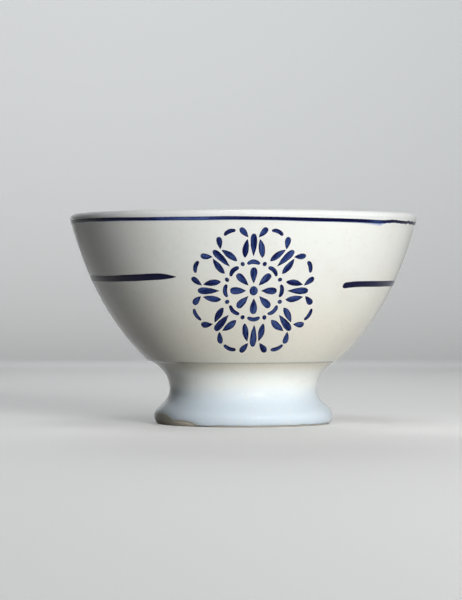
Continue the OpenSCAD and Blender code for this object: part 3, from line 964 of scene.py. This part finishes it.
@dataclass
class StencilRosette:
    """The eightfold rosette on the front, each ring of motifs its own piece."""

    shape: BowlShape
    paint: Paint
    finish: bpy.types.Material
    fold: int = 8
    centre_x: float = 3.8 * MM
    above: float = 1.5 * MM
    below: float = 3.0 * MM
    gap_share: float = 0.042
    eye_share: float = 0.07
    petal_share: tuple[float, float] = (0.245, 0.12)
    arch_share: tuple[float, float] = (0.205, 0.074)
    arch_bend: float = math.radians(85)
    bead_share: float = 0.034
    leaf_share: tuple[float, float] = (0.285, 0.106)
    leaf_lean: float = math.radians(31)
    fan_share: tuple[float, float] = (0.345, 0.115)
    side_share: tuple[float, float] = (0.19, 0.1)
    side_lean: float = math.radians(40)
    border_share: float = 0.2
    border_bend: float = math.radians(70)
    leaf_apart_share: float = 0.55
    side_apart_share: float = 0.75
    round_soft: tuple[float, float] = (0.5, 0.5)
    petal_soft: tuple[float, float] = (1.0, 0.5)
    arch_soft: tuple[float, float] = (0.35, 0.35)
    leaf_soft: tuple[float, float] = (0.8, 1.0)
    wobble: float = 0.12 * MM
    count: int = 0

    def __post_init__(self) -> None:
        """Find the circle between the line and the crease."""
        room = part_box("rim_line")[0].z - self.above - self.below - self.shape.crease_h
        self.radius = room / 2
        self.centre_h = self.shape.crease_h + self.below + self.radius

    def size(self, pair: tuple[float, float]) -> tuple[float, float]:
        """Length and width from their shares of the circle's radius."""
        return pair[0] * self.radius, pair[1] * self.radius

    def spokes(self, between: bool) -> list[float]:
        """Directions of the petals, or of the gaps between them."""
        step = math.tau / self.fold
        return [step * (i + between / 2) for i in range(self.fold)]

    def lay(self, stroke: Stroke, dab: Dab, spot: Spot) -> None:
        """Lay a dab on the wall, with edges as uneven as a stencil leaves them."""
        self.count += 1
        seed = 7.3 * self.count
        sin, cos = math.sin(spot.spoke), math.cos(spot.spoke)
        x = self.centre_x + spot.along * sin + spot.across * cos
        middle = self.centre_h + spot.along * cos - spot.across * sin
        turn = x / self.shape.wall_radius(middle)
        lean = -spot.spoke - spot.lean

        def place(share: float, side: float) -> tuple[Vector, Measures]:
            """The dab's place on the glaze."""
            share = (1 - math.cos(math.pi * share)) / 2
            flat = dab.at(share, side)
            drift = Vector((noise.noise(Vector((flat.x / MM / 2, flat.y / MM / 2, seed))),
                            noise.noise(Vector((flat.x / MM / 2, flat.y / MM / 2, seed + 3)))))
            flat = flat + self.wobble * drift
            u = flat.x * math.cos(lean) - flat.y * math.sin(lean)
            v = flat.x * math.sin(lean) + flat.y * math.cos(lean)
            height = middle + v
            angle = turn + math.asin(u / self.shape.wall_radius(height))
            end = 2 * abs(share - 0.5)
            where = self.shape.on_wall(angle, height, self.paint.proud(max(abs(side), end ** 4)))
            half = dab.half(share)
            return where, {Measure.ALONG: share * dab.length, Measure.ACROSS: side * half,
                           Measure.EDGE: (1 - abs(side)) * half, Measure.LOAD: 1.0, Measure.MARK: seed}

        stroke.lay(stroke.cells, place)

    def build(self) -> list[bpy.types.Object]:
        """Lay every ring of motifs."""
        gap = self.gap_share * self.radius
        eye_r = self.eye_share * self.radius
        bead_r = self.bead_share * self.radius
        petal, arch, leaf = self.size(self.petal_share), self.size(self.arch_share), self.size(self.leaf_share)
        fan, side = self.size(self.fan_share), self.size(self.side_share)
        petal_ring = eye_r + gap
        arch_ring = petal_ring + petal[0] + gap
        leaf_ring = arch_ring + arch[1] / 2 + bead_r + gap
        fan_ring = arch_ring + arch[1] + gap
        side_ring = leaf_ring + leaf[0] * math.cos(self.leaf_lean) + gap
        border_ring = self.radius - arch[1]
        quarter = math.pi / 2
        rings: dict[str, list[tuple[Dab, Spot]]] = {
            "eye": [(Dab(2 * eye_r, 2 * eye_r, self.round_soft), Spot(0))],
            "petals": [(Dab(*petal, self.petal_soft), Spot(a, petal_ring + petal[0] / 2))
                       for a in self.spokes(False)],
            "arches": [(Dab(*arch, self.arch_soft, self.arch_bend), Spot(a, arch_ring + arch[1] / 2, 0, quarter))
                       for a in self.spokes(False)],
            "beads": [(Dab(2 * bead_r, 2 * bead_r, self.round_soft), Spot(a, arch_ring + arch[1] / 2))
                      for a in self.spokes(True)],
            "leaves": [(Dab(*leaf, self.leaf_soft, hand * self.leaf_lean / 2),
                        Spot(a, leaf_ring + leaf[0] / 2 * math.cos(self.leaf_lean),
                             hand * (self.leaf_apart_share * leaf[1] + leaf[0] / 2 * math.sin(self.leaf_lean)),
                             hand * self.leaf_lean))
                       for a in self.spokes(True) for hand in (-1, 1)],
            "fans": [(Dab(*fan, self.petal_soft), Spot(a, fan_ring + fan[0] / 2)) for a in self.spokes(False)]
                    + [(Dab(*side, self.petal_soft),
                        Spot(a, side_ring + side[0] / 2 * math.cos(self.side_lean),
                             hand * (self.side_apart_share * (fan[1] + side[1]) / 2
                                     + side[0] / 2 * math.sin(self.side_lean)),
                             hand * self.side_lean))
                       for a in self.spokes(False) for hand in (-1, 1)],
            "border": [(Dab(self.border_share * self.radius, arch[1], self.arch_soft, self.border_bend),
                        Spot(a, border_ring + arch[1] / 2, 0, quarter)) for a in self.spokes(True)],
        }
        made = []
        for ring, dabs in rings.items():
            stroke = Stroke.blank()
            for dab, spot in dabs:
                self.lay(stroke, dab, spot)
            made.append(new_piece(f"{ring}_paint", stroke.done(), self.finish, Slot.COBALT, f"rosette_{ring}",
                                  thickness=self.paint.depth))
        return made


@dataclass
class BrushedLines:
    """The thin line under the lip and the broken band round the sides, both drawn freehand."""

    shape: BowlShape
    paint: Paint
    finish: bpy.types.Material
    line_w: float = 1.38 * MM
    fringe: float = 0.38 * MM
    band_w: float = 2.5 * MM
    band_point: float = 9.0 * MM
    sway: float = 0.14 * MM
    cells: tuple[int, int] = (480, 16)
    pale_at: float = math.radians(-18)
    pale_spread: float = math.radians(17)
    bleed_from: float = math.radians(39)
    bleed_deep: float = math.radians(50)
    bleed_to: float = math.radians(53)
    bleed: float = 1.7 * MM
    ragged_at: float = math.radians(68)
    ragged_spread: float = math.radians(13)
    line_sag: float = 0.62 * MM
    sag_at: float = math.radians(56)
    sag_spread: float = math.radians(40)
    line_lift: float = 0.08 * MM
    lifts: tuple[tuple[float, float, float], ...] = (
        (math.radians(-62), math.radians(25), 0.37 * MM), (0.0, math.radians(14), 0.17 * MM),
        (math.radians(58), math.radians(5), 0.36 * MM))

    def drift(self, angle: float, seed: float, per_turn: float) -> float:
        """A slow wander of the hand, the same after a full turn."""
        return noise.noise(Vector((per_turn * math.sin(angle), per_turn * math.cos(angle), seed)))

    def bleeding(self, angle: float) -> float:
        """How far the wet colour ran down under the line, from 0 to 1."""
        if angle < self.bleed_deep:
            share = (angle - self.bleed_from) / (self.bleed_deep - self.bleed_from)
        else:
            share = (self.bleed_to - angle) / (self.bleed_to - self.bleed_deep)
        return min(1.0, max(0.0, share)) ** 1.5

    def line(self) -> bpy.types.Object:
        """Draw the line right round, with a faint blue fringe, a bleed and a ragged stretch on the right."""
        low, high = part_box("rim_line")
        stroke = Stroke.blank()

        def place(share: float, side: float) -> tuple[Vector, Measures]:
            """The line's place on the glaze."""
            angle = math.tau * share - math.pi
            ragged = hump(angle, self.ragged_at, self.ragged_spread)
            bled = self.bleeding(angle)
            width = self.line_w * (1 + 0.1 * self.drift(angle, 1, 4) - 0.16 * ragged
                                   + 0.3 * ragged * self.drift(angle, 11, 60))
            fringe = mix(self.fringe, self.bleed, bled) * (1 - 0.7 * ragged)
            wander = 0.5 * self.drift(angle, 5, 5) + 3.6 * ragged * self.drift(angle, 9, 40)
            sag = self.line_sag * hump(angle, self.sag_at, self.sag_spread)
            lift = self.line_lift + sum(rise * hump(angle, at, spread) for at, spread, rise in self.lifts)
            top = (low.z + high.z + width) / 2 + self.sway * wander + lift - sag
            down = (1 - side) / 2 * (width + fringe)
            where = self.shape.on_wall(angle, top - down, self.paint.proud(side))
            pale = 0.49 * hump(angle, self.pale_at, self.pale_spread) + 0.12 * max(0, self.drift(angle, 2, 6))
            pale += 0.3 * hump(angle, self.bleed_deep - math.radians(1.5), math.radians(4.5))
            run = min(1.0, max(0.0, (down - width) / fringe))
            load = 1.3 * (1 - pale) if run == 0 else mix(0.34, 0.46, bled) * (1 - run) ** 1.2
            return where, {Measure.ALONG: angle * self.shape.rim_r, Measure.ACROSS: down,
                           Measure.EDGE: max(0.0, min(down, width - down)), Measure.LOAD: load,
                           Measure.MARK: 1.0}

        stroke.lay(self.cells, place)
        return new_piece("line_paint", stroke.done(), self.finish, Slot.COBALT, "rim_line",
                         thickness=self.paint.depth)

    def band_ends(self) -> tuple[float, float]:
        """Find the angles of the band's blunt right end and its pointed left end in the frame."""
        verts = [v.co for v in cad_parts["side_band"].data.vertices if v.co.y < 0]
        right = min(math.atan2(v.x, -v.y) for v in verts if v.x > 0)
        left = max(math.atan2(v.x, -v.y) for v in verts if v.x < 0)
        return right, left

    def band(self) -> bpy.types.Object:
        """Draw the band from its blunt end on the right, climbing round the back, to its point on the left."""
        start, end = self.band_ends()
        low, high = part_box("side_band")
        rise = high.z - low.z - self.band_w
        radius = self.shape.wall_radius((low.z + high.z) / 2)
        span = math.tau + end - start
        stroke = Stroke.blank()

        def place(share: float, side: float) -> tuple[Vector, Measures]:
            """The band's place on the glaze, with its cells close together at both ends."""
            share = mix(share, (1 - math.cos(math.pi * share)) / 2, 0.85)
            angle = start + span * share
            done, left = share * span * radius, (1 - share) * span * radius
            swell = 1.03 + 0.03 * hump(done, 0, 9 * MM) + 0.12 * hump(left, 1.5 * self.band_point, 30 * MM)
            half = self.band_w / 2 * swell * (1 + 0.05 * self.drift(angle, 3, 5))
            if done < 1.3 * half:
                half *= math.sqrt(max(0.0, 1 - (1 - done / half / 1.3) ** 2))
            half *= math.sin(math.pi / 2 * min(1.0, left / self.band_point)) ** 0.8
            droop = -0.5 * MM * hump(done, 0, 5 * MM) - 0.15 * MM * hump(left, 0, 4 * MM)
            droop -= 0.35 * MM * hump(left, 32 * MM, 16 * MM)
            middle = low.z + self.band_w / 2 + rise * share + 0.1 * MM * hump(left, 6 * MM, 8 * MM)
            height = middle + droop + 0.8 * self.sway * self.drift(angle, 7, 5) + side * half
            finish = max(abs(side), 1 - min(1.0, 2 * done / self.band_w, 2 * left / self.band_w))
            where = self.shape.on_wall(angle, height, self.paint.proud(finish))
            load = 1.45 - 0.25 * max(0, self.drift(angle, 4, 5)) - 0.5 * hump(angle, math.pi / 2, 0.4)
            return where, {Measure.ALONG: angle * radius, Measure.ACROSS: side * half,
                           Measure.EDGE: (1 - abs(side)) * half, Measure.LOAD: load, Measure.MARK: 2.0}

        stroke.lay(self.cells, place)
        return new_piece("band_paint", stroke.done(), self.finish, Slot.COBALT, "side_band",
                         thickness=self.paint.depth)


# The studio

@dataclass(frozen=True)
class Studio:
    """A pale sweep, one large window-like light with weak fills, and the photograph's viewpoint."""

    image_w: int = 462
    image_h: int = 600
    axis_px: float = 243.3
    horizon_px: float = 293.0
    scale: float = 0.4191 * MM
    eye_h: float = 54.5 * MM
    lens: float = 153.0
    sensor: float = 36.0
    floor_colour: Colour = (0.10, 0.095, 0.085, 1)
    seen_colour: Colour = (0.95, 0.96, 0.96, 1)
    seen_share: float = 0.8
    seen_glow: float = 0.22
    room_colour: Colour = (0.95, 0.97, 1.0, 1)
    room_seen: float = 0.42
    room_mirrored: float = 0.08
    room_light: float = 0.01
    beam: float = math.radians(60)
    floor_front: float = 4.0
    floor_back: float = 1.0
    sweep_r: float = 0.35
    wall_h: float = 1.8
    half_w: float = 4.0

    def camera(self) -> bpy.types.Object:
        """Stand the camera level with the bowl's wall, a little left of its axis."""
        focal = self.lens / self.sensor * self.image_h
        data = bpy.data.cameras.new("camera")
        data.lens = self.lens
        data.sensor_width = self.sensor
        data.clip_start, data.clip_end = 0.05, 20
        camera = bpy.data.objects.new("camera", data)
        left = (self.axis_px - self.image_w / 2) * self.scale
        tilt = math.atan((self.image_h / 2 - self.horizon_px) / focal)
        camera.location = (-left, -focal * self.scale, self.eye_h)
        camera.rotation_euler = (math.pi / 2 - tilt, 0, 0)
        bpy.context.scene.collection.objects.link(camera)
        bpy.context.scene.camera = camera
        return camera

    def seen(self, sheet: Sheet) -> bpy.types.NodeSocket:
        """A mask of the rays that the camera sends out, straight or by way of a mirror or glass."""
        path = sheet.add("ShaderNodeLightPath").outputs
        mirrored = sheet.math("ADD", path["Is Camera Ray"], path["Is Glossy Ray"])
        return sheet.math("ADD", mirrored, path["Is Transmission Ray"], clamp=True)

    def sweep(self) -> bpy.types.Object:
        """Roll the floor up into the backdrop."""
        bm = bmesh.new()
        bend = [Vector((0, self.floor_back + self.sweep_r * math.sin(a), self.sweep_r * (1 - math.cos(a))))
                for a in (math.pi / 2 * s for s in shares(16))]
        line = [Vector((0, -self.floor_front, 0)), *bend, Vector((0, self.floor_back + self.sweep_r, self.wall_h))]
        verts = [bm.verts.new(p - Vector((self.half_w, 0, 0))) for p in line]
        edges = [bm.edges.new(pair) for pair in zip(verts, verts[1:])]
        grown = bmesh.ops.extrude_edge_only(bm, edges=edges)["geom"]
        bmesh.ops.translate(bm, vec=(2 * self.half_w, 0, 0),
                            verts=[g for g in grown if isinstance(g, bmesh.types.BMVert)])
        bmesh.ops.recalc_face_normals(bm, faces=bm.faces)
        mesh = bpy.data.meshes.new("sweep")
        bm.to_mesh(mesh)
        bm.free()
        mesh.shade_smooth()
        floor = bpy.data.objects.new("sweep", mesh)
        bpy.context.scene.collection.objects.link(floor)
        material, sheet, shader = new_material("pale_paper")
        seen = sheet.math("MULTIPLY", self.seen(sheet), self.seen_share)
        sheet.feed(shader["Base Color"], sheet.blend(seen, self.floor_colour, self.seen_colour))
        shader["Emission Color"].default_value = self.seen_colour
        sheet.feed(shader["Emission Strength"], sheet.math("MULTIPLY", seen, self.seen_glow))
        shader["Roughness"].default_value = 0.9
        shader["Specular IOR Level"].default_value = 0.2
        mesh.materials.append(material)
        return floor

    def lamp(self, name: str, azimuth: float, elevation: float, distance: float, size: tuple[float, float],
             watts: float, colour: tuple[float, float, float], away: bool = False) -> bpy.types.Object:
        """Hang a soft light that looks at the bowl.

        Args:
            name: The light's name.
            azimuth: Turn from the front towards +X, in degrees.
            elevation: Height above the horizon, in degrees.
            distance: How far from the bowl.
            size: Width and height of its face.
            watts: Its power.
            colour: Its colour.
            away: Whether it looks away from the bowl, at what stands behind it.

        Returns:
            The light.
        """
        data = bpy.data.lights.new(name, "AREA")
        data.shape = "RECTANGLE"
        data.size, data.size_y = size
        data.energy = watts
        data.color = colour
        lamp = bpy.data.objects.new(name, data)
        a, e = math.radians(azimuth), math.radians(elevation)
        back = Vector((math.sin(a) * math.cos(e), -math.cos(a) * math.cos(e), math.sin(e)))
        lamp.location = distance * back + Vector((0, 0, self.eye_h))
        lamp.rotation_mode = "QUATERNION"
        lamp.rotation_quaternion = (back if away else -back).to_track_quat("-Z", "Y")
        lamp.visible_camera = False
        bpy.context.scene.collection.objects.link(lamp)
        return lamp

    def light(self) -> None:
        """Light the bowl from the front right, and leave its left side in soft shade."""
        window = self.lamp("window", 28, 8, 1.25, (0.5, 0.6), 1.99, (1.0, 0.985, 0.95))
        window.data.spread = self.beam
        window.visible_glossy = False
        self.lamp("pane", 20, 13, 1.25, (0.5, 0.16), 1.7, (0.97, 0.98, 1.0))
        self.lamp("skylight", 10, 64, 1.2, (0.6, 0.5), 1.0, (0.94, 0.98, 1.0))
        self.lamp("overhead", 0, 88, 1.2, (0.5, 0.5), 2.0, (0.98, 0.99, 1.0))
        self.lamp("front", 2, 30, 1.25, (1.0, 0.8), 1.4, (0.97, 0.98, 0.98))
        right = self.lamp("right", 85, 6, 1.25, (0.4, 0.6), 0.18, (1.0, 0.94, 0.82))
        right.data.spread = self.beam
        back = self.lamp("back", 182, 20, 1.25, (0.5, 0.6), 1.0, (0.98, 0.98, 1.0))
        back.data.spread = self.beam
        back.visible_glossy = False
        self.lamp("backdrop", 180, 40, 0.55, (1.2, 0.4), 6.0, (0.93, 0.97, 1.0), away=True)
        world = bpy.data.worlds.new("room")
        bpy.context.scene.world = world
        world.use_nodes = True
        sheet = Sheet(world.node_tree)
        room = sheet.add("ShaderNodeBackground")
        sheet.feed(room.inputs["Color"], self.room_colour)
        straight = sheet.add("ShaderNodeLightPath").outputs["Is Camera Ray"]
        mirrored = sheet.math("MULTIPLY_ADD", self.seen(sheet), self.room_mirrored, self.room_light)
        strength = sheet.math("MULTIPLY_ADD", straight, self.room_seen, mirrored)
        sheet.feed(room.inputs["Strength"], strength)
        sheet.feed(sheet.add("ShaderNodeOutputWorld").inputs["Surface"], room.outputs[0])

    def build(self) -> None:
        """Set the whole studio."""
        self.camera()
        self.sweep()
        self.light()
        bpy.context.scene.view_settings.view_transform = "Standard"
        log.info("studio: camera, sweep and lights set")


def main() -> None:
    """Build the bowl's looks in order."""
    logging.basicConfig(level=logging.INFO, format="%(name)s: %(message)s")
    shape = BowlShape.from_frame()
    Studio().build()
    marks = GlazeMarks().build()
    grain = ClayGrain().build()
    biscuit = ClayFinish(grain, "biscuit_clay", (0.80, 0.75, 0.66, 1), (0.62, 0.56, 0.47, 1), 0.6)
    slip = ClayFinish(grain, "wiped_slip", (0.76, 0.70, 0.60, 1), (0.62, 0.54, 0.44, 1), 0.2)
    ClayParts(biscuit.make(), slip.make()).dress()
    GlazedSkin(shape, GlazeFinish(marks).make()).build()
    HollowSkin(shape, GlazeFinish(marks, name="thin_glaze", stain=0.6).make()).build()
    paint = Paint()
    BrushedLines(shape, paint, CobaltFinish(marks, "brushed_cobalt", pool=0.5 * MM, patchy=0.32).make()).line()
    BrushedLines(shape, paint, CobaltFinish(marks, "band_cobalt", patchy=0.34).make()).band()
    StencilRosette(shape, paint, CobaltFinish(marks, "stencil_cobalt").make()).build()


if __name__ == "__main__":
    main()
